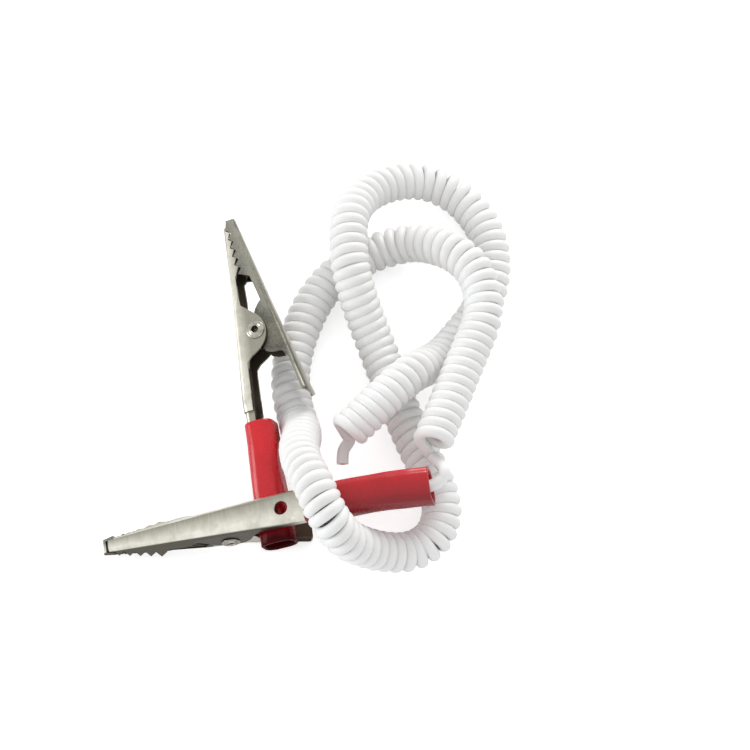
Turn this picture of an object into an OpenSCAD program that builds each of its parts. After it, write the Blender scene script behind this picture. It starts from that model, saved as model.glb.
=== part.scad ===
// Earthing cord for a static-control bench: a tightly curled PVC lead with a stamped steel
// spring clip crimped to one end, and a second, loose clip of the same kind. All sizes in mm.
// The set lies on a bench (z = 0). +X is to the right, +Y away, +Z up.

/* [Clip body] */
// Thickness of the plated sheet steel
sheet = 0.4; // [0.35:0.05:0.45]
// Hinge pin to the tip of the upper jaw
nose_l = 20.3; // [17:0.5:25]
// Hinge pin to the end of the thumb lever
lever_l = 11.6; // [10:0.1:14]
// Outside width of the lower jaw across its ears
ear_w = 5; // [4.8:0.1:6]
// Outside width of the lower jaw's handle, in front of the sleeve
handle_w = 5.3; // [4.8:0.1:5.6]
// Outside width of the handle inside the sleeve
neck_w = 4; // [3.6:0.1:4.1]
// Outside width of the upper jaw at the thumb end
thumb_w = 5.8; // [4.6:0.1:6.2]
// Width of each jaw's back at the nose
nose_w = 1.9; // [1.6:0.1:2.4]
// Diameter of the hole in the lower jaw's handle
handle_hole_d = 2.2; // [1.6:0.1:2.8]

/* [Teeth] */
// Number of teeth on each jaw
teeth = 5; // [3:1:7]
// Length of one tooth along the jaw
tooth_l = 1.65; // [1.2:0.05:1.9]
// Height of one tooth
tooth_h = 0.7; // [0.4:0.05:0.9]
// Gap between the meshed teeth
tooth_gap = 0.18; // [0.1:0.01:0.3]

/* [Rivet and spring] */
// Outside diameter of the hollow rivet's shank
rivet_d = 1.9; // [1.6:0.05:2.2]
// Diameter of the hole through the rivet
rivet_hole_d = 1.06; // [0.8:0.02:1.2]
// Diameter of the rivet's rolled heads
rivet_head_d = 3; // [2.6:0.1:3.6]
// Radial clearance of the moving jaw on the rivet
pin_clearance = 0.05; // [0.02:0.01:0.1]
// Spring wire diameter
spring_wire_d = 0.5; // [0.4:0.05:0.5]
// Curls of the torsion spring
spring_curls = 3; // [2:1:3]

/* [Sleeve] */
// Length of a soft sleeve
sleeve_l = 19.5; // [16:0.5:24]
// Width of a sleeve on its handle
sleeve_w = 5.7; // [5.6:0.1:6.4]
// Height of a sleeve on its handle
sleeve_h = 4.7; // [4.7:0.1:5.4]
// Wall of a sleeve
sleeve_wall = 0.5; // [0.4:0.05:0.6]

/* [Cord] */
// Outside diameter of the curled cord
coil_d = 6.4; // [5.8:0.1:6.6]
// Diameter of the insulated wire
wire_d = 1.8; // [1.5:0.05:1.9]
// Diameter of the stranded conductor in it
conductor_d = 0.9; // [0.7:0.05:1]
// Number of curls
curls = 80; // [50:1:84]

/* [Hidden] */
steel = [0.80, 0.80, 0.74];
red_pvc = [0.80, 0.12, 0.14];
white_pvc = [0.93, 0.93, 0.92];
copper = [0.80, 0.50, 0.32];
eps = 0.01;
tiny = 0.02;

// Puts the middle of the two clips' outline at the origin
shift = [16.656, 4.166, 0];
// Where the two clips lie: hinge pin centre, then roll, pitch and yaw. In a clip's own frame
// +X runs along the handle, +Y to the lever side and +Z along the hinge pin.
clip_at = [shift + [-18.34, 3.55, 8.4], shift + [-22.72, -27.47, 3.8]];
clip_turn = [[17, 4, -79.8], [-90, -13.4, 7.234]];
// Where each sleeve starts, and stations along it: how far from its start, how far its middle is
// off its line on the handle in Y and in Z, and how much wider and higher it is there
sleeve_from = [14.8, 13.1];
sleeve_shape = [[[0, 0, 0, 0, 0], [3.7, 0, 0, 0, 0], [8.4, -0.35, -0.25, -0.2, 0.2],
                 [13.2, -0.5, -0.85, -0.7, 0.6], [sleeve_l, -0.55, -1.25, -1, 0.9]],
                [[0, 0, 0, 0, 0], [9.7, 0, 0, 0, 0], [12.9, 0.3, 0, 0.05, -0.1],
                 [16.4, 1.1, 0, 0.2, -0.3], [sleeve_l, 2.1, 0, 0.4, -0.4]]];

// Lower jaw: its floor at the nose, before the ears, at the ears and along the handle. Heights
// are measured from the hinge pin.
nose_x = -nose_l + 1.3;
waist_x = -4.8;
waist_w = ear_w - 0.7;
floor_y = [-2.95, -3.25, -3.65, -4.2];
ear_x = 3.5;
handle_x = 11;
neck_x = 13;
hole_x = 9.5;
// How far the sides of each jaw lean out at the nose, per mm of height
nose_lean = [0.7, 0.4];
flange_y = -2.25;
flange_fall = 0.35;
fold_r = 0.8;
rivet_play = 0.03;
bite_x = -18.3;
bite_y = -2.1;
bite_rise = 1.05;
bite_end = bite_x + teeth * tooth_l;
// Upper jaw: the back is a straight ramp from the nose to the thumb end
ramp = 13.4;
ramp_h = 3.8;
jaw_play = 0.12;
lever_ear_r = 2.15;
lever_w = ear_at(-lever_ear_r) - 2 * (sheet + jaw_play);
// The upper jaw's sides are parallel on this length each way from the pin
pin_land = 2.6;
thumb_flange = 0.75;
thumb_u = lever_l / cos(ramp) + ramp_h * tan(ramp);
nose_u = -nose_l / cos(ramp) + ramp_h * tan(ramp);
// Crimp at the end of the handle, under the sleeve
tang_x = 15.5;
crimp_y = -2.75;
crimp_x = [17.3, 19.9];
grip_x = [20.9, 22.6];
crimp_gap = 0.03;
crimp_wall = [0.7, 0.47];
crimp_slot = 0.3;
// Spring
spring_r = rivet_d / 2 + 0.25 + spring_wire_d / 2;
spring_pitch = spring_wire_d + 0.08;
leg_up = 24.8;
leg_down = -12;
leg_l = 6;

// Points on a circular arc
function arc(c, r, a, b, n) = [for (i = [0 : n]) c + r * [cos(a + (b - a) * i / n),
                                                         sin(a + (b - a) * i / n)]];
// The line on which the teeth mesh: a zigzag, shifted up or down by half the gap
function bite_at(x) = bite_y + bite_rise * (x - bite_x) / (bite_end - bite_x);
function bite(shift) = [for (i = [0 : teeth], k = [0, 1]) if (i < teeth || k == 0)
    let (x = bite_x + (i + 0.4 * k) * tooth_l) [x, bite_at(x) + (k - 0.5) * tooth_h + shift]];
function unit(v) = v / norm(v);
function sum(v, i = 0) = i < len(v) ? v[i] + sum(v, i + 1) : 0;

// Outside width of the lower jaw between its waist and the back of its ears
function ear_at(x) = waist_w + (ear_w - waist_w) * (x - waist_x) / (ear_x - waist_x);
// Width of a channel's inside, whose wall is in thick and leans out
function inset(w, in, lean) = w + 2 * in * (lean - sqrt(1 + lean * lean));

module on_clip(n) translate(clip_at[n]) rotate(clip_turn[n]) children();

// Slice of a folded channel in the plane of Y and Z: bottom at y0 and w wide there, open or cut
// at y1, with sides that lean out
module fold_slice(w, y0, y1, r, lean = 0) {
    h = y1 - y0;
    rotate([90, 0, 90]) linear_extrude(tiny) {
        for (s = [-1, 1]) translate([y0 + r, s * (w / 2 - r)]) circle(r, $fn = 24);
        polygon([[y0 + r, -w / 2], [y1, -w / 2 - lean * h], [y1, w / 2 + lean * h],
                 [y0 + r, w / 2]]);
    }
}

// ---- Lower jaw ---------------------------------------------------------------------------
module base_shell(in) {
    top = 4;
    w = 2 * in;
    r = fold_r - in;
    nose_r = min(r, 0.6);
    module waist() translate([waist_x, 0, 0]) fold_slice(waist_w - w, floor_y[1] + in, top, r);
    module ears() translate([ear_x, 0, 0]) fold_slice(ear_w - w, floor_y[2] + in, top, r);
    hull() {
        translate([nose_x + in, 0, 0]) fold_slice(inset(nose_w, in, nose_lean[0]), floor_y[0] + in,
            top, nose_r, nose_lean[0]);
        waist();
    }
    hull() {
        waist();
        ears();
    }
    hull() {
        ears();
        translate([handle_x, 0, 0]) fold_slice(handle_w - w, floor_y[3] + in, top, r);
    }
    // Straight handle, with a shoulder for the sleeve, up to the tang
    for (part = [[handle_x, neck_x - in, handle_w], [neck_x - in - eps, tang_x + in, neck_w]])
        translate([part[0], 0, 0]) rotate([90, 0, 90]) linear_extrude(part[1] - part[0]) {
            for (s = [-1, 1]) translate([floor_y[3] + in + r, s * (part[2] / 2 - in - r)])
                circle(r, $fn = 24);
            translate([floor_y[3] + in, -part[2] / 2 + in + r]) square([4, part[2] - 2 * (in + r)]);
            translate([floor_y[3] + in + r, -part[2] / 2 + in]) square([4, part[2] - w]);
        }
}

// Height of the floor between the ears and the straight handle, and its slope there
function floor_at(x) = floor_y[2] + (floor_y[3] - floor_y[2]) * (x - ear_x) / (handle_x - ear_x);
floor_turn = atan((floor_y[2] - floor_y[3]) / (handle_x - ear_x));

// Side view of the lower jaw: teeth, wire eye, rounded ear and the low flange of the handle
module base_side() polygon(concat(
    [[nose_x - 0.1, -8], [nose_x - 0.1, bite_y - 0.4]], bite(-tooth_gap / 2),
    [[bite_end + 0.5, -1.85], [-4.8, -1.95], [-3.9, -0.9]],
    arc([0.2, -2.25], 3.95, 145, 30, 16),
    [[4.3, -1.4], [5.1, flange_y + 0.1], [6.2, flange_y], [tang_x, flange_y - flange_fall],
     [tang_x, -8]]));

module crimp_barrel(x, bore, wall) {
    translate([x[0], crimp_y, 0]) rotate([0, 90, 0])
        cylinder(r = bore / 2 + crimp_gap + wall, h = x[1] - x[0], $fn = 40);
}

module base_jaw(n) color(steel) on_clip(n) difference() {
    union() {
        intersection() {
            difference() {
                base_shell(0);
                base_shell(sheet);
            }
            linear_extrude(ear_w + 2, center = true) base_side();
        }
        // Tang and crimp barrels
        translate([tang_x - 1, floor_y[3], -1.3]) cube([grip_x[0] - tang_x + 1.4, sheet, 2.6]);
        crimp_barrel(crimp_x, conductor_d, crimp_wall[0]);
        crimp_barrel(grip_x, wire_d, crimp_wall[1]);
    }
    // Rivet hole through both ears, and the hole in the handle's floor
    cylinder(d = rivet_d + 2 * rivet_play, h = ear_w + 2, center = true, $fn = 40);
    translate([hole_x, floor_y[2], 0]) rotate([0, 0, -floor_turn])
        translate([0, -(floor_y[2] - floor_at(hole_x)) + sheet / 2, 0]) rotate([90, 0, 0])
            cylinder(d = handle_hole_d, h = 2, center = true, $fn = 40);
    // Bores and slots of the crimp barrels
    translate([crimp_x[0] - 1, crimp_y, 0]) rotate([0, 90, 0])
        cylinder(d = conductor_d + 2 * crimp_gap, h = crimp_x[1] - crimp_x[0] + 2, $fn = 40);
    translate([crimp_x[1] + eps, crimp_y, 0]) rotate([0, 90, 0])
        cylinder(d = wire_d + 2 * crimp_gap, h = 4, $fn = 40);
    translate([crimp_x[0] - eps, crimp_y, -crimp_slot / 2]) cube([6, 3, crimp_slot]);
}

// ---- Upper jaw ---------------------------------------------------------------------------
module lever_shell(in) {
    w = 2 * in;
    r = 0.7 - in / 2;
    nose_r = min(r, 0.6);
    low = 9;
    module land(s) translate([s * pin_land, 0, 0]) fold_slice(lever_w - w, -ramp_h + in, low, r);
    mirror([0, 1, 0]) {
        hull() {
            translate([nose_u + in, 0, 0]) fold_slice(inset(nose_w, in, nose_lean[1]), -ramp_h + in,
                low, nose_r, nose_lean[1]);
            land(-1);
        }
        hull() {
            land(-1);
            land(1);
        }
        hull() {
            land(1);
            translate([thumb_u + (in > 0 ? 1 : 0), 0, 0]) fold_slice(thumb_w - w, -ramp_h + in, low, r);
        }
    }
}

// Side view of the upper jaw, in the frame of the lower one
function thumb_edge(x) = [x, tan(ramp) * x + ramp_h / cos(ramp) - thumb_flange];
module lever_side() polygon(concat(
    [[-nose_l - 1, 9], [-nose_l - 1, bite_y - 0.1], [-nose_l + 0.5, bite_y - 0.1]],
    bite(tooth_gap / 2),
    [[bite_end + 0.55, 0.35], [-6.8, 1.05], [-4.9, 1.5], [-3.6, 0.4]],
    arc([0, 0], lever_ear_r, 190, 350, 16),
    [[3, 0.5], [3.7, 1], [4.1, 2], [4.2, 3.3], thumb_edge(4.8), thumb_edge(lever_l + 3),
     [lever_l + 3, 12]]));

// Plan view of the thumb end, with its rounded corners
module thumb_plan() {
    r = 1.1;
    translate([nose_u - 2, -5]) square([thumb_u - r - nose_u + 2, 10]);
    for (s = [-1, 1]) translate([thumb_u - r, s * (thumb_w / 2 - r)]) circle(r, $fn = 32);
    translate([0, -thumb_w / 2 + r]) square([thumb_u, thumb_w - 2 * r]);
}

module lever_jaw(n) color(steel) on_clip(n) difference() {
    intersection() {
        rotate(ramp) difference() {
            lever_shell(0);
            lever_shell(sheet);
        }
        linear_extrude(thumb_w + 1, center = true) lever_side();
        rotate(ramp) rotate([90, 0, 0]) linear_extrude(20, center = true) thumb_plan();
    }
    cylinder(d = rivet_d + 2 * pin_clearance, h = ear_w + 2, center = true, $fn = 40);
}

// ---- Hollow rivet: rolled over at both ends ----------------------------------------------
function rivet_half() = let (r = rivet_head_d / 2, half = ear_at(r) / 2 + tiny, head = 0.42)
    [[rivet_d / 2, half], [r - 0.12, half], [r, half + 0.14], [r - 0.22, half + 0.34],
     [r - 0.6, half + head], [rivet_hole_d / 2 + 0.12, half + head - 0.08],
     [rivet_hole_d / 2, half + 0.1]];
module rivet(n) color(steel) on_clip(n) rotate_extrude($fn = 40)
    let (p = rivet_half(), m = len(p) - 1)
        polygon(concat([for (q = p) q], [for (k = [m : -1 : 0]) [p[k].x, -p[k].y]]));

// ---- Tubes -------------------------------------------------------------------------------
// A closed tube round a path: a regular polygon of the given sides at each point. up holds a
// direction for each point that is never along the path.
function tube_rings(path, up, r, sides) = [for (i = [0 : len(path) - 1])
    let (t = unit(path[min(i + 1, len(path) - 1)] - path[max(i - 1, 0)]),
         n = unit(up[i] - (up[i] * t) * t), b = cross(t, n))
    for (k = [0 : sides - 1]) path[i] + r * (cos(360 * k / sides) * n + sin(360 * k / sides) * b)];
module tube(path, up, d, sides) {
    last = (len(path) - 1) * sides;
    polyhedron(tube_rings(path, up, d / 2, sides), concat(
        [[for (k = [0 : sides - 1]) k]], [[for (k = [sides - 1 : -1 : 0]) last + k]],
        [for (i = [0 : len(path) - 2], k = [0 : sides - 1])
            let (a = i * sides + k, b = i * sides + (k + 1) % sides)
            each [[a, a + sides, b], [b, a + sides, b + sides]]]));
}

// ---- Torsion spring: curls round the rivet, one leg under each handle ---------------------
function spring_coil() = let (turn = 360 * spring_curls - leg_up + leg_down + 180,
        n = round(8 * turn / 360), rise = spring_pitch * turn / 360)
    [for (i = [0 : n]) let (a = 90 + leg_up + turn * i / n)
        [spring_r * cos(a), spring_r * sin(a), rise * (i / n - 0.5)]];
function spring_path() = let (c = spring_coil(), m = len(c) - 1)
    concat([c[0] + leg_l * [cos(leg_up), sin(leg_up), 0], c[0] + 0.6 * [cos(leg_up), sin(leg_up), 0]],
        c, [c[m] + 0.6 * [cos(leg_down), sin(leg_down), 0],
            c[m] + leg_l * [cos(leg_down), sin(leg_down), 0]]);
module spring(n) color(steel) on_clip(n)
    tube(spring_path(), [for (p = spring_path()) [0, 0, 1]], spring_wire_d, 6);

// ---- Soft sleeve: a drawn tube, round-cornered where the handle fills it, open at both ends --
// Points round a slice, and round the bore in it
function rounded(p, w, h, r) = [for (c = [0 : 3], k = [0 : 6]) let (a = 90 * c + 15 * k,
        sy = c == 0 || c == 3 ? 1 : -1, sz = c < 2 ? 1 : -1)
    p + [0, sy * (h / 2 - r) + r * cos(a), sz * (w / 2 - r) + r * sin(a)]];
sleeve_corner = 1.8;
sleeve_slip = 0.08;
sleeve_mid = floor_y[3] - sleeve_slip - sleeve_wall + sleeve_h / 2;
function sleeve_stations(n) = [for (s = sleeve_shape[n])
    [[sleeve_from[n] + s[0], sleeve_mid + s[1], s[2]], sleeve_w + s[3], sleeve_h + s[4]]];
module sleeve(n) color(red_pvc) on_clip(n) {
    st = sleeve_stations(n);
    m = len(st);
    k = 28;
    rings = concat([for (s = st) rounded(s[0], s[1], s[2], sleeve_corner)],
        [for (i = [m - 1 : -1 : 0]) let (s = st[i], t = 2 * sleeve_wall)
            rounded(s[0], s[1] - t, s[2] - t, sleeve_corner - sleeve_wall)]);
    polyhedron([for (r = rings) each r], [for (i = [0 : 2 * m - 1], q = [0 : k - 1])
        let (a = i * k + q, b = i * k + (q + 1) % k, c = (i + 1) % (2 * m) * k + (q + 1) % k,
             d = (i + 1) % (2 * m) * k + q)
            each [[a, c, b], [a, d, c]]]);
}

// ---- Curly cord --------------------------------------------------------------------------
// The line that the middle of the coil follows on the bench, from its free end
bench_route = [
    [-4.3, -13.7, 9.7], [-0.6, -10.3, 10.4], [3.2, -6.4, 10.4], [6, -3.5, 9.2], [8.3, -1.2, 6.6],
    [10.8, 1.3, 4.5], [14, 5.5, 3.4], [16.8, 9.5, 3.25], [18.5, 13.5, 3.25], [19.2, 18, 3.25],
    [18.8, 22.5, 3.25], [17, 27, 3.25], [13.5, 31, 3.4], [9, 33.1, 4], [4.5, 33, 4.8],
    [0.2, 31, 6], [-2.7, 27.7, 7.7], [-4.1, 23.5, 9.6], [-4.3, 19, 10.3], [-3.9, 14.5, 10],
    [-2.8, 10.5, 8.2], [-1.3, 6.8, 5.9], [0.3, 3, 4.1], [1.9, -1.2, 3.35], [4, -7.2, 3.25],
    [6.3, -13, 3.25], [8.3, -17.3, 3.25], [10, -21.5, 3.25], [10.4, -25.5, 3.25],
    [8.8, -29.2, 3.3], [5.2, -31.4, 3.7], [0.4, -32.3, 6.8], [-4, -32.3, 11.8],
    [-6.4, -30.7, 15.4], [-8, -28.1, 16.8], [-9.4, -24.8, 16.6], [-11, -21.2, 14.9],
    [-11.7, -17.5, 12], [-11.5, -13.8, 8], [-12.2, -10.1, 4.5], [-13.2, -6, 3.4],
    [-13.6, -2, 3.25], [-13.2, 2, 3.25], [-12, 6.6, 3.25], [-10, 11.5, 3.25],
    [-7, 15.7, 3.25], [-3, 19, 3.25], [1.5, 21, 3.5], [6, 21.2, 5.4], [10, 19.4, 8],
    [13.4, 16.8, 9.8], [16, 13.5, 10.5], [17.2, 9.5, 10.7], [17, 5, 10.6], [15.4, 0.5, 10.6],
    [13.4, -4.5, 10.6], [11.5, -9.5, 10.8], [9.8, -13.8, 11.2], [8.9, -16.3, 11.5]];
route = [for (p = bench_route) p + shift];
coil_r = (coil_d - wire_d) / 2;
curl_rings = 8;
step = 12;
first_turn = 225;
// Smooth curve through the route's points
function spline(p, i, t) = let (n = len(p) - 1, a = p[max(i - 1, 0)], b = p[i], c = p[min(i + 1, n)],
        d = p[min(i + 2, n)])
    0.5 * (2 * b + t * (c - a) + t * t * (2 * a - 5 * b + 4 * c - d)
        + t * t * t * (3 * b - a - 3 * c + d));
fine = [for (i = [0 : len(route) - 2], k = [0 : step - 1]) spline(route, i, k / step)];
fine_n = len(fine);
// Curls are spaced evenly along the inside of each bend, so that they never crowd there
function bend(i) = let (a = fine[max(i - step / 2, 0)], b = fine[i],
        c = fine[min(i + step / 2, fine_n - 1)], u = b - a, v = c - b)
    (norm(u) < 1 || norm(v) < 1) ? 0 : acos(min(1, unit(u) * unit(v))) * PI / 90 / (norm(u) + norm(v));
inner = [for (i = 0, s = 0; i < fine_n; s = s + (i + 1 < fine_n
    ? norm(fine[i + 1] - fine[i]) * max(0.3, 1 - coil_d / 2 * bend(i)) : 0), i = i + 1) s];
inner_l = inner[fine_n - 1];
along = [for (k = [0 : 2]) [for (i = [0 : fine_n - 1]) [inner[i], fine[i][k]]]];
function mid(s) = [for (k = [0 : 2]) lookup(s, along[k])];
function mid_dir(s) = unit(mid(min(s + 0.8, inner_l)) - mid(max(s - 0.8, 0)));
function out_dir(s, a) = let (t = mid_dir(s), side = unit(cross(t, [0, 0, 1])), up = cross(side, t))
    cos(a) * side + sin(a) * up;
ring_n = curls * curl_rings - 2;
function turn_at(i) = first_turn - 360 * i / curl_rings;
curl = [for (i = [0 : ring_n]) let (s = inner_l * i / ring_n) mid(s) + coil_r * out_dir(s, turn_at(i))];
curl_out = [for (i = [0 : ring_n]) out_dir(inner_l * i / ring_n, turn_at(i))];
// Both ends run straight on for one wire diameter
tail_dir = unit(curl[0] - curl[1]);
lead_dir = unit(curl[ring_n] - curl[ring_n - 1]);
tail_from = curl[0] + wire_d * tail_dir;
lead_from = curl[ring_n] + wire_d * lead_dir;
module curly_cord() color(white_pvc)
    tube(concat([tail_from], curl, [lead_from]), concat([curl_out[0]], curl_out, [curl_out[ring_n]]),
        wire_d, 6);

// Least gap of the coil to itself, between points that are half a curl or more apart
gap_at = [for (i = [0 : 2 : ring_n - 5]) min([for (j = [i + 5 : ring_n]) norm(curl[i] - curl[j])])];
echo(route_length = sum([for (i = [1 : fine_n - 1]) norm(fine[i] - fine[i - 1])]),
    least_gap = min(gap_at) - wire_d, tail_from = tail_from, tail_dir = tail_dir,
    lead_from = lead_from, lead_dir = lead_dir);

module along_dir(p, d) translate(p) rotate([0, acos(d.z), atan2(d.y, d.x)]) children();

// ---- Cut free end of the wire: a short hook out of the last curl ----------------------------
tail_route = concat([tail_from, tail_from + 1.1 * tail_dir],
    [for (p = [[-4.9, -15.2, 4.8], [-5.1, -17, 5.2], [-5, -18.6, 6.2]]) p + shift]);
tail_end = tail_route[4];
tail_end_dir = unit(tail_route[4] - tail_route[3]);
core_l = 1.5;
tail_fine = concat([tail_from], [for (i = [1 : 2], k = [0 : 3]) spline(tail_route, i, k / 4)],
    [tail_route[3], tail_end]);
module cord_tail() color(white_pvc) difference() {
    tube(tail_fine, [for (p = tail_fine) [1, 0.1, 0]], wire_d, 8);
    along_dir(tail_end - core_l * tail_end_dir, tail_end_dir)
        cylinder(d = conductor_d + 0.04, h = core_l + 1, $fn = 32);
}
module tail_conductor() color(copper) along_dir(tail_end - core_l * tail_end_dir, tail_end_dir)
    cylinder(d = conductor_d, h = core_l + 0.1, $fn = 32);

// ---- Lead into the second clip -------------------------------------------------------------
// From the last curl over the cord below it and in at the sleeve's mouth, then straight along
// the clip's axis into the crimp
function clip_point(n, p) = let (a = clip_turn[n],
        x = [p.x, p.y * cos(a.x) - p.z * sin(a.x), p.y * sin(a.x) + p.z * cos(a.x)],
        y = [x.x * cos(a.y) + x.z * sin(a.y), x.y, x.z * cos(a.y) - x.x * sin(a.y)])
    clip_at[n] + [y.x * cos(a.z) - y.y * sin(a.z), y.x * sin(a.z) + y.y * cos(a.z), y.z];
lead_route = concat([lead_from, lead_from + 1.1 * lead_dir],
    [for (p = [[34.9, -0.4, 2.4], [34.4, -0.4, 0.9], [32.6, -0.5, 0], [30, -1.3, 0], [27.4, -2.1, 0],
               [25.2, -2.6, 0], [23.6, crimp_y, 0], [grip_x[0] + 0.15, crimp_y, 0]])
        clip_point(1, p)]);
lead_last = len(lead_route) - 1;
lead_fine = concat([lead_from],
    [for (i = [1 : lead_last - 2], k = [0 : 3]) spline(lead_route, i, k / 4)],
    [lead_route[lead_last - 1], lead_route[lead_last]]);
module cord_lead() color(white_pvc)
    tube(lead_fine, [for (p = lead_fine) [0, 0, 1]], wire_d, 8);
module lead_conductor() color(copper) on_clip(1) translate([crimp_x[0] - 0.3, crimp_y, 0])
    rotate([0, 90, 0]) cylinder(d = conductor_d, h = grip_x[0] - crimp_x[0] + 0.4, $fn = 32);

base_jaw(0);  // base_jaw_1
lever_jaw(0);  // lever_jaw_1
rivet(0);  // rivet_1
spring(0);  // spring_1
sleeve(0);  // sleeve_1
base_jaw(1);  // base_jaw_2
lever_jaw(1);  // lever_jaw_2
rivet(1);  // rivet_2
spring(1);  // spring_2
sleeve(1);  // sleeve_2
curly_cord();
cord_tail();
tail_conductor();
cord_lead();
lead_conductor();
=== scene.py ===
"""Earthing cord: a curly white lead crimped to a steel spring clip, with a second, loose clip."""

import math

import bmesh
import bpy
from mathutils import Euler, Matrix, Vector, noise


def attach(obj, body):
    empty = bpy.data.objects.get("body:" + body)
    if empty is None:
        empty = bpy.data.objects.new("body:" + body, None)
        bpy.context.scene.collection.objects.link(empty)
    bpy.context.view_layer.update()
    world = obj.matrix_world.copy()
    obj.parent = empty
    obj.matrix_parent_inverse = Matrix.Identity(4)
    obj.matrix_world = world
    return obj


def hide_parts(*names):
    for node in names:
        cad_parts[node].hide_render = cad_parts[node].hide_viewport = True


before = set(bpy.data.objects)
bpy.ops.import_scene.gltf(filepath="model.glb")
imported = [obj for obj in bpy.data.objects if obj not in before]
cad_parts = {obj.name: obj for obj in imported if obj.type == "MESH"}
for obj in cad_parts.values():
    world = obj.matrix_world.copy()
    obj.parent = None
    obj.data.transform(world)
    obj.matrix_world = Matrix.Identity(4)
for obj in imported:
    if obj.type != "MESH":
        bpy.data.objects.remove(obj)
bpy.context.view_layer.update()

# ---- Camera ----------------------------------------------------------------------------------
# It looks down on the bench from the front at 67 degrees, from 350 mm away. Places on the bench
# are measured from the spot that it aims at, and shift is where the frame has that spot.
MM = 0.001
shift = Vector((16.656, 4.166, 0)) * MM
camera = bpy.data.objects.new("camera", bpy.data.cameras.new("camera"))
camera.data.lens = 103.3
camera.data.sensor_width = 36
camera.data.clip_start = 0.01
camera.location = shift + Vector((0, -136.8, 322.2)) * MM
camera.rotation_euler = (math.radians(23), 0, 0)
bpy.context.collection.objects.link(camera)
bpy.context.scene.camera = camera
bpy.context.scene.view_settings.view_transform = "Standard"

# ---- Curly cord ------------------------------------------------------------------------------
# One soft white vinyl wire, wound warm on a rod into a close coil that is pulled open a little
# on the outside of each bend. Its free end is cut off bare, and its other end runs straight
# into the sleeve of the second clip.
clip_at = [shift + Vector(p) * MM for p in ((-18.34, 3.55, 8.4), (-22.72, -27.47, 3.8))]
clip_turn = [Euler([math.radians(a) for a in turn], "XYZ").to_matrix()
             for turn in ((17, 4, -79.8), (-90, -13.4, 7.234))]


def on_clip(n, x, y, z):
    """A point in a clip's own frame, in mm, to its place on the bench in metres."""
    return clip_at[n] + clip_turn[n] @ (Vector((x, y, z)) * MM)


def smooth(points, steps):
    """Points of a smooth curve through the given ones, with the last one left out."""
    out = []
    last = len(points) - 1
    for i in range(last):
        a, b = points[max(i - 1, 0)], points[i]
        c, d = points[i + 1], points[min(i + 2, last)]
        for k in range(steps):
            t = k / steps
            out.append(0.5 * (2 * b + t * (c - a) + t * t * (2 * a - 5 * b + 4 * c - d)
                              + t ** 3 * (3 * b - a - 3 * c + d)))
    return out


bench_route = [
    (-4.3, -13.7, 9.7), (-0.6, -10.3, 10.4), (3.2, -6.4, 10.4), (6, -3.5, 9.2), (8.3, -1.2, 6.6),
    (10.8, 1.3, 4.5), (14, 5.5, 3.4), (16.8, 9.5, 3.25), (18.5, 13.5, 3.25), (19.2, 18, 3.25),
    (18.8, 22.5, 3.25), (17, 27, 3.25), (13.5, 31, 3.4), (9, 33.1, 4), (4.5, 33, 4.8),
    (0.2, 31, 6), (-2.7, 27.7, 7.7), (-4.1, 23.5, 9.6), (-4.3, 19, 10.3), (-3.9, 14.5, 10),
    (-2.8, 10.5, 8.2), (-1.3, 6.8, 5.9), (0.3, 3, 4.1), (1.9, -1.2, 3.35), (4, -7.2, 3.25),
    (6.3, -13, 3.25), (8.3, -17.3, 3.25), (10, -21.5, 3.25), (10.4, -25.5, 3.25),
    (8.8, -29.2, 3.3), (5.2, -31.4, 3.7), (0.4, -32.3, 6.8), (-4, -32.3, 11.8),
    (-6.4, -30.7, 15.4), (-8, -28.1, 16.8), (-9.4, -24.8, 16.6), (-11, -21.2, 14.9),
    (-11.7, -17.5, 12), (-11.5, -13.8, 8), (-12.2, -10.1, 4.5), (-13.2, -6, 3.4),
    (-13.6, -2, 3.25), (-13.2, 2, 3.25), (-12, 6.6, 3.25), (-10, 11.5, 3.25),
    (-7, 15.7, 3.25), (-3, 19, 3.25), (1.5, 21, 3.5), (6, 21.2, 5.4), (10, 19.4, 8),
    (13.4, 16.8, 9.8), (16, 13.5, 10.5), (17.2, 9.5, 10.7), (17, 5, 10.6), (15.4, 0.5, 10.6),
    (13.4, -4.5, 10.6), (11.5, -9.5, 10.8), (9.8, -13.8, 11.2), (8.9, -16.3, 11.5)]
coil_d = 6.4 * MM
wire_d = 1.9 * MM
coil_r = (coil_d - wire_d) / 2
curl_pitch = 1.64 * MM
points_per_curl = 22
route_steps = 12
line = smooth([shift + Vector(p) * MM for p in bench_route], route_steps)

# In a bend the curls keep their spacing this far inside the coil's middle, and open outside it
lean = 1.1 * MM
bend_over = route_steps // 2
# Where else they are looser, or tighter if below 0: the point of the route, how much, how wide.
# They are loose on both arches and at the front. They are tight in the free end, where strands
# cross, in the bend at the front right and where they climb over the clip.
loose = ((1.5, -0.15, 2.5), (12.3, 0.16, 1.6), (19.2, -0.17, 1), (28.4, -0.2, 1.4),
         (31, 0.16, 1), (33.4, -0.24, 1.3), (36, -0.14, 1.6), (47.6, 0.14, 1.5))
# The length of evenly wound coil that lies before each point of the line
wound = [0.0]
for i in range(1, len(line)):
    a, b, c = line[max(i - bend_over, 0)], line[i], line[min(i + bend_over, len(line) - 1)]
    u, v = b - a, c - b
    bend = u.angle(v) * 2 / (u.length + v.length) if min(u.length, v.length) > MM else 0
    step = (line[i] - line[i - 1]).length
    pull = 1 + sum(more * math.exp(-((i / route_steps - at) / wide) ** 2)
                   for at, more, wide in loose)
    wound.append(wound[-1] + step * (1 - lean * bend) / pull)


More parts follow.
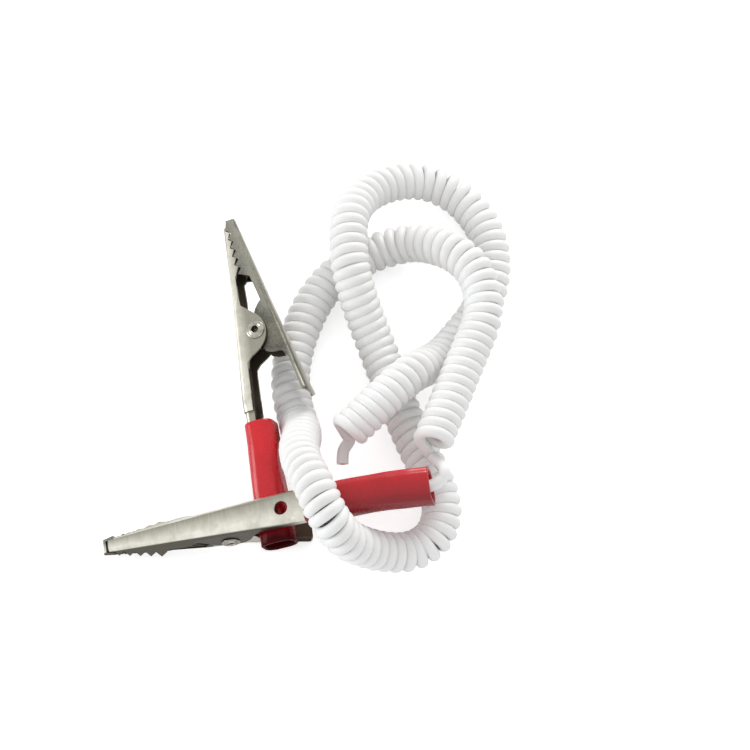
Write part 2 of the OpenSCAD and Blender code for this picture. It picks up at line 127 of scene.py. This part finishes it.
def middle(s):
    """The coil's middle after a length of evenly wound coil."""
    s = min(max(s, 0), wound[-1])
    lo, hi = 0, len(wound) - 1
    while hi - lo > 1:
        m = (lo + hi) // 2
        lo, hi = (m, hi) if wound[m] <= s else (lo, m)
    return line[lo].lerp(line[hi], (s - wound[lo]) / (wound[hi] - wound[lo]))


curls = round(wound[-1] / curl_pitch) - 0.25
last = round(curls * points_per_curl)
first_turn = math.radians(225)
direction_over = 0.8 * MM
# No two curls of a real cord are spaced quite alike, so they sway a little, but not at the ends
sway = 0.16 * MM
sway_length = 6.1 * MM
still_points = 40
# Curls are pressed in on top where the loose clip's open lever would meet them
under_lever = shift + Vector((-12.8, -7.8, 3.9)) * MM
pressed_in = 0.58 * MM
pressed_over = 3 * MM
wire = []
for i in range(last + 1):
    s = wound[-1] * i / last
    s += sway * math.sin(s / sway_length) * min(1, i / still_points, (last - i) / still_points)
    along = (middle(s + direction_over) - middle(s - direction_over)).normalized()
    side = along.cross(Vector((0, 0, 1))).normalized()
    turn = first_turn - math.tau * curls * i / last
    out = math.cos(turn) * side + math.sin(turn) * side.cross(along)
    pressed = pressed_in * math.exp(-((middle(s) - under_lever).length / pressed_over) ** 2)
    wire.append(middle(s) + (coil_r - pressed * max(0, out.z)) * out)

# The cut end hooks out of the first curl, and the lead runs from the last one into the crimp
straight_on = (1.8 * MM, 2.9 * MM)
end_steps = 8
tail_dir = (wire[0] - wire[1]).normalized()
tail = [wire[0] + far * tail_dir for far in straight_on]
tail += [shift + Vector(p) * MM for p in ((-4.9, -15, 5.2), (-5.1, -16.3, 5.05),
                                          (-5.1, -17.3, 4.85))]
lead_dir = (wire[-1] - wire[-2]).normalized()
lead = [wire[-1] + far * lead_dir for far in straight_on]
lead += [on_clip(1, *p) for p in (
    (34.9, -0.4, 2.4), (34.4, -0.4, 0.9), (32.6, -0.5, 0), (30, -1.3, 0), (27.4, -2.1, 0),
    (25.2, -2.6, 0), (23.6, -2.75, 0), (21.05, -2.75, 0))]
tail_path = smooth([wire[0]] + tail, end_steps)[1:] + [tail[-1]]
lead_path = smooth([wire[-1]] + lead, end_steps)[1:] + [lead[-1]]
cord_path = list(reversed(lead_path)) + list(reversed(wire)) + tail_path


def drawn_wire(name, paths, diameter, sides):
    """Round wires of one diameter along the given paths, as one object."""
    curve = bpy.data.curves.new(name, "CURVE")
    curve.dimensions = "3D"
    curve.bevel_depth = diameter / 2
    curve.bevel_resolution = sides // 2 - 2
    curve.use_fill_caps = True
    for path in paths:
        spline = curve.splines.new("POLY")
        spline.points.add(len(path) - 1)
        for point, place in zip(spline.points, path):
            point.co = (*place, 1)
        spline.use_smooth = True
    piece = bpy.data.objects.new(name, curve)
    bpy.context.collection.objects.link(piece)
    return piece


class Finish:
    """A principled material, with the few kinds of node that the finishes here are made of."""

    def __init__(self, name, **settings):
        self.material = bpy.data.materials.new(name)
        self.material.use_nodes = True
        self.tree = self.material.node_tree
        self.shader = self.tree.nodes["Principled BSDF"]
        for socket, value in settings.items():
            self.shader.inputs[socket.replace("_", " ")].default_value = value

    def add(self, kind, inputs, **choices):
        """A new node. Each input is a plain value or another node's output."""
        node = self.tree.nodes.new(kind)
        for choice, value in choices.items():
            setattr(node, choice, value)
        for socket, value in inputs.items():
            if isinstance(value, bpy.types.NodeSocket):
                self.tree.links.new(value, node.inputs[socket])
            else:
                node.inputs[socket].default_value = value
        return node

    def drive(self, socket, output):
        """Lets a node's output set one of the shader's own values."""
        self.tree.links.new(output, self.shader.inputs[socket])

    def coords(self):
        return self.add("ShaderNodeTexCoord", {}).outputs["Object"]

    def noise(self, coords, scale, detail=3, roughness=0.5):
        return self.add("ShaderNodeTexNoise", {"Vector": coords, "Scale": scale, "Detail": detail,
                                               "Roughness": roughness}).outputs["Fac"]

    def spread(self, pattern, given, wanted):
        """Maps a range of a pattern to a range of values."""
        return self.add("ShaderNodeMapRange", {
            "Value": pattern, "From Min": given[0], "From Max": given[1],
            "To Min": wanted[0], "To Max": wanted[1]}).outputs["Result"]

    def blend(self, pattern, a, b):
        """Goes from colour a to colour b. Either one may be another node's output."""
        a, b = ((*colour, 1) if isinstance(colour, tuple) else colour for colour in (a, b))
        return self.add("ShaderNodeMix", {"Factor": pattern, 6: a, 7: b},
                        data_type="RGBA").outputs[2]

    def maths(self, operation, a, b):
        return self.add("ShaderNodeMath", {0: a, 1: b}, operation=operation).outputs["Value"]

    def vector_maths(self, operation, a, b):
        return self.add("ShaderNodeVectorMath", {0: a, 1: b}, operation=operation).outputs["Value"]

    def bump(self, height, strength, depth, over=None):
        """Relief on the surface, over another relief if one is given."""
        inputs = {"Height": height, "Strength": strength, "Distance": depth}
        if over:
            inputs["Normal"] = over
        normal = self.add("ShaderNodeBump", inputs).outputs["Normal"]
        self.drive("Normal", normal)
        return normal


vinyl_white = (0.86, 0.86, 0.85)
vinyl_grey = (0.81, 0.80, 0.785)
white_vinyl = Finish("white_vinyl", Specular_IOR_Level=0.45, Subsurface_Weight=0.12,
                     Subsurface_Radius=(1, 0.95, 0.9), Subsurface_Scale=0.6 * MM)
coords = white_vinyl.coords()
tone = white_vinyl.spread(white_vinyl.noise(coords, scale=140, detail=4), (0.35, 0.7), (0, 1))
white_vinyl.drive("Base Color", white_vinyl.blend(tone, vinyl_white, vinyl_grey))
sheen = white_vinyl.spread(white_vinyl.noise(coords, scale=900), (0.3, 0.7), (0.33, 0.48))
white_vinyl.drive("Roughness", sheen)
white_vinyl.bump(white_vinyl.noise(coords, scale=2600, detail=2), strength=0.12, depth=0.04 * MM)

cord = drawn_wire("cord", [cord_path], wire_d, sides=14)
cord.data.materials.append(white_vinyl.material)
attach(cord, "set")
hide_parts("curly_cord", "cord_tail", "cord_lead")

# ---- Stranded conductors ---------------------------------------------------------------------
# Seven tinned copper strands, one inside six, twisted together. They show in the cut end of the
# wire, and are closed into the crimp of the second clip.
strand_d = 0.28 * MM
strand_apart = strand_d * 1.03
strand_lay = 9 * MM
strand_steps = 16


def twisted(start, end):
    """Paths of the seven strands from start to end."""
    axis = (end - start).normalized()
    across = axis.orthogonal().normalized()
    paths = []
    for k in range(7):
        out = strand_apart if k else 0
        paths.append([])
        for i in range(strand_steps + 1):
            far = (end - start).length * i / strand_steps
            a = math.tau * (k / 6 + far / strand_lay)
            paths[-1].append(start + axis * far
                             + out * (math.cos(a) * across + math.sin(a) * axis.cross(across)))
    return paths


bare_copper = (0.74, 0.42, 0.27)
dark_copper = (0.5, 0.27, 0.16)
copper = Finish("strand_copper", Metallic=1, Roughness=0.35)
tarnish = copper.noise(copper.coords(), scale=1500)
copper.drive("Base Color", copper.blend(tarnish, bare_copper, dark_copper))

tail_out = (tail[-1] - tail[-2]).normalized()
tail_strands = drawn_wire("tail_strands", twisted(tail[-1] - 1.5 * MM * tail_out,
                                                  tail[-1] + 0.1 * MM * tail_out),
                          strand_d, sides=8)
crimp_strands = drawn_wire("crimp_strands", twisted(on_clip(1, 17, -2.75, 0),
                                                    on_clip(1, 21.3, -2.75, 0)),
                           strand_d, sides=8)
for strands, node in ((tail_strands, "tail_conductor"), (crimp_strands, "lead_conductor")):
    strands.data.materials.append(copper.material)
    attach(strands, "set")
    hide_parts(node)

# ---- Sleeves ---------------------------------------------------------------------------------
# Soft red vinyl tube, cut to length and pushed over the handle's end and the crimp. The loose
# clip's sleeve is squeezed where it runs under the other clip, and the other sags at its mouth.
sleeve_l = 19.5
sleeve_w = 5.7
sleeve_h = 4.7
sleeve_wall = 0.5
sleeve_corner = 1.8
sleeve_slip = 0.08
handle_floor = -4.2
sleeve_mid = handle_floor - sleeve_slip - sleeve_wall + sleeve_h / 2
rim_rounding = 0.1
ring_step = 0.5
ring_sides = 56
# Where each sleeve starts, and how its middle and its width and height change along it
sleeve_from = (14.8, 13.1)
sleeve_shape = (
    ((0, 0, 0, 0, 0), (3.7, 0, 0, 0, 0), (8.4, -0.35, -0.25, -0.2, 0.2),
     (13.2, -0.5, -0.85, -0.7, 0.6), (sleeve_l, -0.55, -1.25, -1, 0.9)),
    ((0, 0, 0, 0, 0), (9.7, 0, 0, 0, 0), (12.9, 0.3, 0, 0.05, -0.1), (16.4, 1.1, 0, 0.2, -0.3),
     (sleeve_l, 2.1, 0, 0.4, -0.4)))
# Lengthwise creases: where round the sleeve, how deep and how wide. The loose clip's are faint
creases = ((2.55, 0.13, 0.16), (1.95, 0.1, 0.13), (1.4, 0.08, 0.12), (4.4, 0.08, 0.2))
crease_strength = (0.35, 1)
crease_from = 5
crease_grows = 8
dent_depth = 0.09
dents_along = 0.22
dents_round = 1.3


def station(n, x):
    """Middle, width and height of a sleeve at a distance from its start."""
    shape = sleeve_shape[n]
    i = max(k for k in range(len(shape) - 1) if shape[k][0] <= x + 1e-9)
    a, b = shape[i], shape[i + 1]
    t = (x - a[0]) / (b[0] - a[0])
    dy, dz, dw, dh = (a[k] + (b[k] - a[k]) * t for k in range(1, 5))
    return sleeve_from[n] + x, sleeve_mid + dy, dz, sleeve_w + dw, sleeve_h + dh


def unevenness(n, x, a):
    """How far the wall stands out: soft dents, and creases that fade towards the handle."""
    # Each sleeve gets its own part of the noise
    soft = noise.noise(Vector((x * dents_along, math.cos(a) * dents_round + 5 * n,
                               math.sin(a) * dents_round)))
    folds = sum(-depth * math.exp(-(math.remainder(a - at, math.tau) / wide) ** 2)
                for at, depth, wide in creases)
    grown = min(1, max(0, (x - crease_from) / crease_grows))
    return dent_depth * soft + folds * grown * crease_strength[n]


def as_piece(body, name, *materials):
    """The finished mesh as a smooth-shaded piece."""
    mesh = bpy.data.meshes.new(name)
    body.to_mesh(mesh)
    body.free()
    mesh.shade_smooth()
    for material in materials:
        mesh.materials.append(material)
    piece = bpy.data.objects.new(name, mesh)
    bpy.context.collection.objects.link(piece)
    return piece


vinyl_red = (0.62, 0.008, 0.016)
vinyl_dull_red = (0.52, 0.006, 0.012)
# Painted shade: at the caught end of the loose clip's sleeve, and along the front of the other one
vinyl_painted_shade = (0.05, 0.002, 0.003)
vinyl_front_shade = (0.2, 0.004, 0.008)
red_vinyl = Finish("red_vinyl", Subsurface_Weight=0.1, Subsurface_Radius=(1, 0.2, 0.15),
                   Subsurface_Scale=0.5 * MM, Coat_Roughness=0.12)
coords = red_vinyl.coords()
tone = red_vinyl.spread(red_vinyl.noise(coords, scale=220, detail=4), (0.35, 0.7), (0, 1))
red = red_vinyl.blend(tone, vinyl_red, vinyl_dull_red)
# The loose clip's sleeve gets a painted shade at the end that is caught under the other clip:
# near-black red, with less coat and specular there
to_shaded_end = red_vinyl.vector_maths("DISTANCE", coords, on_clip(0, 35.5, -3, -1))
near = red_vinyl.spread(to_shaded_end, (3 * MM, 7 * MM), (1, 0))
red = red_vinyl.blend(near, red, vinyl_painted_shade)
# The other one gets a painted shade that grows towards its front
front_shade = red_vinyl.add("ShaderNodeAttribute", {}, attribute_name="front_shade").outputs["Fac"]
front_shade_most = 0.45
red_vinyl.drive("Base Color", red_vinyl.blend(front_shade, red, vinyl_front_shade))
red_vinyl.drive("Coat Weight", red_vinyl.spread(near, (0, 1), (0.2, 0)))
red_vinyl.drive("Specular IOR Level", red_vinyl.spread(near, (0, 1), (0.4, 0.05)))
sheen = red_vinyl.spread(red_vinyl.noise(coords, scale=700), (0.3, 0.7), (0.2, 0.34))
red_vinyl.drive("Roughness", sheen)
red_vinyl.bump(red_vinyl.noise(coords, scale=1800, detail=3), strength=0.1, depth=0.05 * MM)

# Out along the outside, round the cut rim, back through the bore and round the other rim
stops = [ring_step * k for k in range(1, round(sleeve_l / ring_step))]
way = [(rim_rounding, 0), (0, rim_rounding)] + [(0, x) for x in stops]
way += [(0, sleeve_l - rim_rounding), (rim_rounding, sleeve_l),
        (sleeve_wall - rim_rounding, sleeve_l), (sleeve_wall, sleeve_l - rim_rounding)]
way += [(sleeve_wall, x) for x in reversed(stops)]
way += [(sleeve_wall, rim_rounding), (sleeve_wall - rim_rounding, 0)]
for n in (0, 1):
    body = bmesh.new()
    front_shade_layer = body.verts.layers.float.new("front_shade")
    ring = bmesh.ops.create_circle(body, segments=ring_sides, radius=1)["verts"]
    angles = [math.atan2(v.co.y, v.co.x) for v in ring]
    edges = first_edges = list(body.edges)
    for k, (inset, x) in enumerate(way):
        if k:
            made = bmesh.ops.extrude_edge_only(body, edges=edges)["geom"]
            edges = [g for g in made if isinstance(g, bmesh.types.BMEdge)]
            fresh = {g for g in made if isinstance(g, bmesh.types.BMVert)}
            ring = [next(e.other_vert(v) for e in v.link_edges if e.other_vert(v) in fresh)
                    for v in ring]
        at, dy, dz, w, h = station(n, x)
        for vertex, a in zip(ring, angles):
            r = sleeve_corner - inset + unevenness(n, x, a)
            up = math.copysign(w / 2 - sleeve_corner, math.sin(a)) + r * math.sin(a)
            vertex.co = on_clip(n, at, dy + r * math.cos(a) + math.copysign(
                h / 2 - sleeve_corner, math.cos(a)), dz + up)
            # Painted shade on the second sleeve: none at its upper edge, most at its front
            vertex[front_shade_layer] = n * (front_shade_most - front_shade_most * up / (w / 2))
    bmesh.ops.bridge_loops(body, edges=first_edges + edges)
    bmesh.ops.recalc_face_normals(body, faces=body.faces)
    sleeve = as_piece(body, "red_sleeve_%d" % (n + 1), red_vinyl.material)
    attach(sleeve, "set")
    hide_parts("sleeve_%d" % (n + 1))

# ---- Clip jaws -------------------------------------------------------------------------------
# Stamped from nickel-plated sheet steel and folded into channels: the lower jaw with its ears,
# handle and crimp, and the upper jaw with its thumb lever. The plating is brushed across the clip
# and bright on its cut edges. A painted reflection makes it bright along one fold of each back,
# and painted shade makes it dull on the other fold and the side walls and dark inside.
lever_ramp = math.radians(13.4)
half_at_pivot = 2.05 * MM
half_widens = 0.055
nickel_painted_bright = (0.95, 0.92, 0.81)
nickel_clouded = (0.33, 0.31, 0.23)
nickel_hairline = (0.97, 0.95, 0.86)
nickel_painted_wall_shade = (0.13, 0.12, 0.1)
nickel_painted_inside_shade = (0.13, 0.105, 0.08)
# For each jaw: the way out of its back and how far its inside is along it in mm, the colour of the
# painted shade on its side walls, and how much painted light brightens them towards the back
jaws = (("base", (0, -1, 0), 2.4, (0.34, 0.33, 0.26), 1),
        ("lever", (-math.sin(lever_ramp), math.cos(lever_ramp), 0), 2.8, (0.09, 0.087, 0.07), 0.2))


def nickel_plate(n, name, back, depth, sides, painted_wall_light):
    """Nickel plate for one jaw of clip n. The other values are as in the list of jaws."""
    plating = Finish(name, Metallic=1)
    texture = plating.add("ShaderNodeTexCoord", {})
    local = plating.add("ShaderNodeMapping", {
        "Location": clip_at[n], "Rotation": clip_turn[n].to_euler("XYZ")},
        vector_type="TEXTURE")
    plating.tree.links.new(texture.outputs["Object"], local.inputs["Vector"])
    local = local.outputs["Vector"]
    normal = texture.outputs["Normal"]
    maths, spread, blend = plating.maths, plating.spread, plating.blend

    def dot(a, b):
        return plating.vector_maths("DOT_PRODUCT", a, b)

    # Inside: walls that face the clip's middle, and the back's inner face
    across = dot(local, (0, 0, 1))
    facing = dot(normal, clip_turn[n] @ Vector((0, 0, 1)))
    wall = maths("LESS_THAN", maths("MULTIPLY", across, facing), -0.4 * MM)
    inward = maths("LESS_THAN", dot(normal, clip_turn[n] @ Vector(back)), -0.5)
    deep = maths("GREATER_THAN", dot(local, back), depth * MM)
    inner = maths("MAXIMUM", wall, maths("MULTIPLY", inward, deep))

    # Each back has a painted reflection, bright along one side and fading to painted shade on the
    # other fold. The side walls get painted shade, which painted light lifts towards the back
    half_width = maths("ADD", maths("MULTIPLY", dot(local, (1, 0, 0)), half_widens), half_at_pivot)
    beside = maths("DIVIDE", across, half_width)
    walls = spread(maths("ABSOLUTE", beside, 0), (0.88, 0.96), (0, 1))
    over_back = maths("MULTIPLY", spread(beside, (-0.5, 0.8), (0, 1)), maths("SUBTRACT", 1, walls))
    over_wall = maths("MULTIPLY", spread(dot(local, back), (1.2 * MM, 3.1 * MM), (1, 1 - painted_wall_light)),
                      walls)
    plate = blend(maths("ADD", over_back, over_wall), nickel_painted_bright, sides)

    # Cloudy patches and fine brushed lines lie over that
    streaks = plating.add("ShaderNodeMapping", {"Vector": local, "Scale": (1, 1, 0.06)})
    brushed = plating.noise(streaks.outputs["Vector"], scale=5200, detail=4, roughness=0.6)
    cloudy = plating.noise(local, scale=420, detail=4, roughness=0.6)
    plate = blend(spread(cloudy, (0.35, 0.68), (0, 0.45)), plate, nickel_clouded)
    plate = blend(spread(brushed, (0.35, 0.7), (0, 0.16)), plate, nickel_hairline)
    # Painted shade: the walls on the clip's -z side are darkened, and so is every inside face
    plate = blend(spread(beside, (-0.95, -1.02), (0, 1)), plate, nickel_painted_wall_shade)
    plating.drive("Base Color", blend(inner, plate, nickel_painted_inside_shade))
    gloss = spread(brushed, (0.3, 0.7), (0.28, 0.42))
    plating.drive("Roughness", maths("ADD", gloss, maths("MULTIPLY", inner, 0.2)))
    scratches = plating.bump(brushed, strength=0.22, depth=0.012 * MM)
    dents = plating.add("ShaderNodeTexVoronoi", {"Vector": local, "Scale": 1500})
    pits = spread(dents.outputs["Distance"], (0.08, 0.3), (0, 1))
    plating.bump(pits, strength=0.12, depth=0.02 * MM, over=scratches)
    return plating.material


# The folds and cut edges of the sheet are a little rounded, and shine
edge_round = 0.09 * MM
edge_over = math.radians(28)
merge_within = 0.004 * MM
flat_within = math.radians(1.5)
edge_nickel = Finish("edge_nickel", Metallic=1, Roughness=0.3, Base_Color=(0.97, 0.95, 0.88, 1))
for n in (0, 1):
    for jaw, back, depth, sides, painted_wall_light in jaws:
        node = "%s_jaw_%d" % (jaw, n + 1)
        body = bmesh.new()
        body.from_mesh(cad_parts[node].data)
        bmesh.ops.remove_doubles(body, verts=body.verts, dist=merge_within)
        bmesh.ops.dissolve_limit(body, angle_limit=flat_within, verts=body.verts,
                                 edges=body.edges)
        sharp = [e for e in body.edges if e.is_manifold and e.calc_face_angle(0) > edge_over]
        bmesh.ops.bevel(body, geom=sharp, offset=edge_round, affect="EDGES", segments=2,
                        profile=0.5, material=1, clamp_overlap=True)
        plating = nickel_plate(n, "nickel_" + node, back, depth, sides, painted_wall_light)
        plate = as_piece(body, "nickel_" + node, plating, edge_nickel.material)
        plate.modifiers.new("even shading", "WEIGHTED_NORMAL").keep_sharp = True
        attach(plate, "set" if jaw == "base" else "lever_%d" % (n + 1))
        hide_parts(node)

# ---- Rivets ----------------------------------------------------------------------------------
# Hollow brass rivets, bright nickel plated, rolled over at both ends so that the jaws turn on
# them. Each end is a flat flange with a raised lip round the hole.
rivet_reach = 2.436
bore_r = 0.53
shank_r = 0.95
rivet_sides = 56
# Radius and height from the middle of the bore, over the lip and the flange, to the shank
rivet_half = [
    (bore_r, 0), (bore_r, rivet_reach + 0.2), (0.57, rivet_reach + 0.34),
    (0.66, rivet_reach + 0.41), (0.78, rivet_reach + 0.42), (0.9, rivet_reach + 0.37),
    (0.98, rivet_reach + 0.27), (1.08, rivet_reach + 0.22), (1.34, rivet_reach + 0.21),
    (1.44, rivet_reach + 0.17), (1.49, rivet_reach + 0.1), (1.47, rivet_reach + 0.04),
    (1.4, rivet_reach + 0.01), (0.97, rivet_reach), (shank_r, rivet_reach - 0.02), (shank_r, 0)]
rivet_pale = (0.56, 0.54, 0.48)
rivet_worn = (0.3, 0.28, 0.23)
bright_nickel = Finish("bright_nickel", Metallic=1)
worn = bright_nickel.noise(bright_nickel.coords(), scale=1300, detail=4)
worn_off = bright_nickel.spread(worn, (0.35, 0.7), (0, 1))
bright_nickel.drive("Base Color", bright_nickel.blend(worn_off, rivet_pale, rivet_worn))
bright_nickel.drive("Roughness", bright_nickel.spread(worn, (0.3, 0.7), (0.16, 0.3)))
bright_nickel.bump(worn, strength=0.15, depth=0.02 * MM)
for n in (0, 1):
    body = bmesh.new()
    outline = rivet_half + [(r, -z) for r, z in reversed(rivet_half[1:-1])]
    corners = [body.verts.new((r, 0, z)) for r, z in outline]
    loop = [body.edges.new((a, b)) for a, b in zip(corners, corners[1:] + corners[:1])]
    bmesh.ops.spin(body, geom=corners + loop, cent=(0, 0, 0), axis=(0, 0, 1), angle=math.tau,
                   steps=rivet_sides, use_merge=True)
    bmesh.ops.recalc_face_normals(body, faces=body.faces)
    for vertex in body.verts:
        vertex.co = on_clip(n, *vertex.co)
    rivet = as_piece(body, "hollow_rivet_%d" % (n + 1), bright_nickel.material)
    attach(rivet, "set")
    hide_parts("rivet_%d" % (n + 1))

# ---- Torsion springs -------------------------------------------------------------------------
# Hard-drawn steel wire wound a little over three times round each rivet. One straight leg lies
# along the lever and one along the handle, and they push the two apart.
spring_wire = 0.5
spring_slip = 0.08
spring_play = 0.25
spring_r = shank_r + spring_play + spring_wire / 2
spring_turns = 3
spring_steps = 96
leg_l = 6
leg_up = math.radians(24.8)
leg_down = math.radians(-12)
spring_dark = (0.46, 0.44, 0.4)
spring_bright = (0.62, 0.6, 0.55)
spring_steel = Finish("spring_steel", Metallic=1)
drawn = spring_steel.noise(spring_steel.coords(), scale=1100, detail=4)
spring_steel.drive("Base Color", spring_steel.blend(drawn, spring_dark, spring_bright))
spring_steel.drive("Roughness", spring_steel.spread(drawn, (0.3, 0.7), (0.25, 0.42)))

turned = math.tau * spring_turns - leg_up + leg_down + math.pi
rise = (spring_wire + spring_slip) * turned / math.tau
coil = [Vector((spring_r * math.cos(math.pi / 2 + leg_up + turned * i / spring_steps),
                spring_r * math.sin(math.pi / 2 + leg_up + turned * i / spring_steps),
                rise * (i / spring_steps - 0.5))) for i in range(spring_steps + 1)]
start = coil[0] + leg_l * Vector((math.cos(leg_up), math.sin(leg_up), 0))
end = coil[-1] + leg_l * Vector((math.cos(leg_down), math.sin(leg_down), 0))
for n in (0, 1):
    spring = drawn_wire("torsion_spring_%d" % (n + 1),
                        [[on_clip(n, *p) for p in [start] + coil + [end]]], spring_wire * MM,
                        sides=12)
    spring.data.materials.append(spring_steel.material)
    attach(spring, "set")
    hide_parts("spring_%d" % (n + 1))

# ---- Bench and light -------------------------------------------------------------------------
# A plain white bench, a soft lamp behind it, a weaker one at the left, and an even white room.
# The bench glows a little for the camera alone, so that it stays white.
bench_white = Finish("bench_white", Base_Color=(0.93, 0.93, 0.93, 1), Roughness=0.9,
                     Specular_IOR_Level=0.1, Emission_Color=(1, 1, 1, 1))
seen = bench_white.add("ShaderNodeLightPath", {}).outputs["Is Camera Ray"]
bench_white.drive("Emission Strength", bench_white.spread(seen, (0, 1), (0, 0.5)))
body = bmesh.new()
bmesh.ops.create_grid(body, x_segments=1, y_segments=1, size=3)
bench = as_piece(body, "bench", bench_white.material)

for name, place, size, power, colour in (
        ("back softbox", (0.25, 0.75, 0.3), 0.4, 3.2, (1, 0.99, 0.97)),
        ("left fill", (-0.7, -0.1, 0.2), 0.4, 1.8, (0.97, 0.98, 1))):
    lamp = bpy.data.lights.new(name, "AREA")
    lamp.shape = "DISK"
    lamp.size = size
    lamp.energy = power
    lamp.color = colour
    light = bpy.data.objects.new(name, lamp)
    light.location = place
    light.rotation_euler = (Vector(place) - shift).to_track_quat("Z", "Y").to_euler()
    bpy.context.collection.objects.link(light)

room = bpy.data.worlds.new("room")
room.use_nodes = True
room.node_tree.nodes["Background"].inputs["Color"].default_value = (0.98, 0.99, 1, 1)
room.node_tree.nodes["Background"].inputs["Strength"].default_value = 0.86
bpy.context.scene.world = room
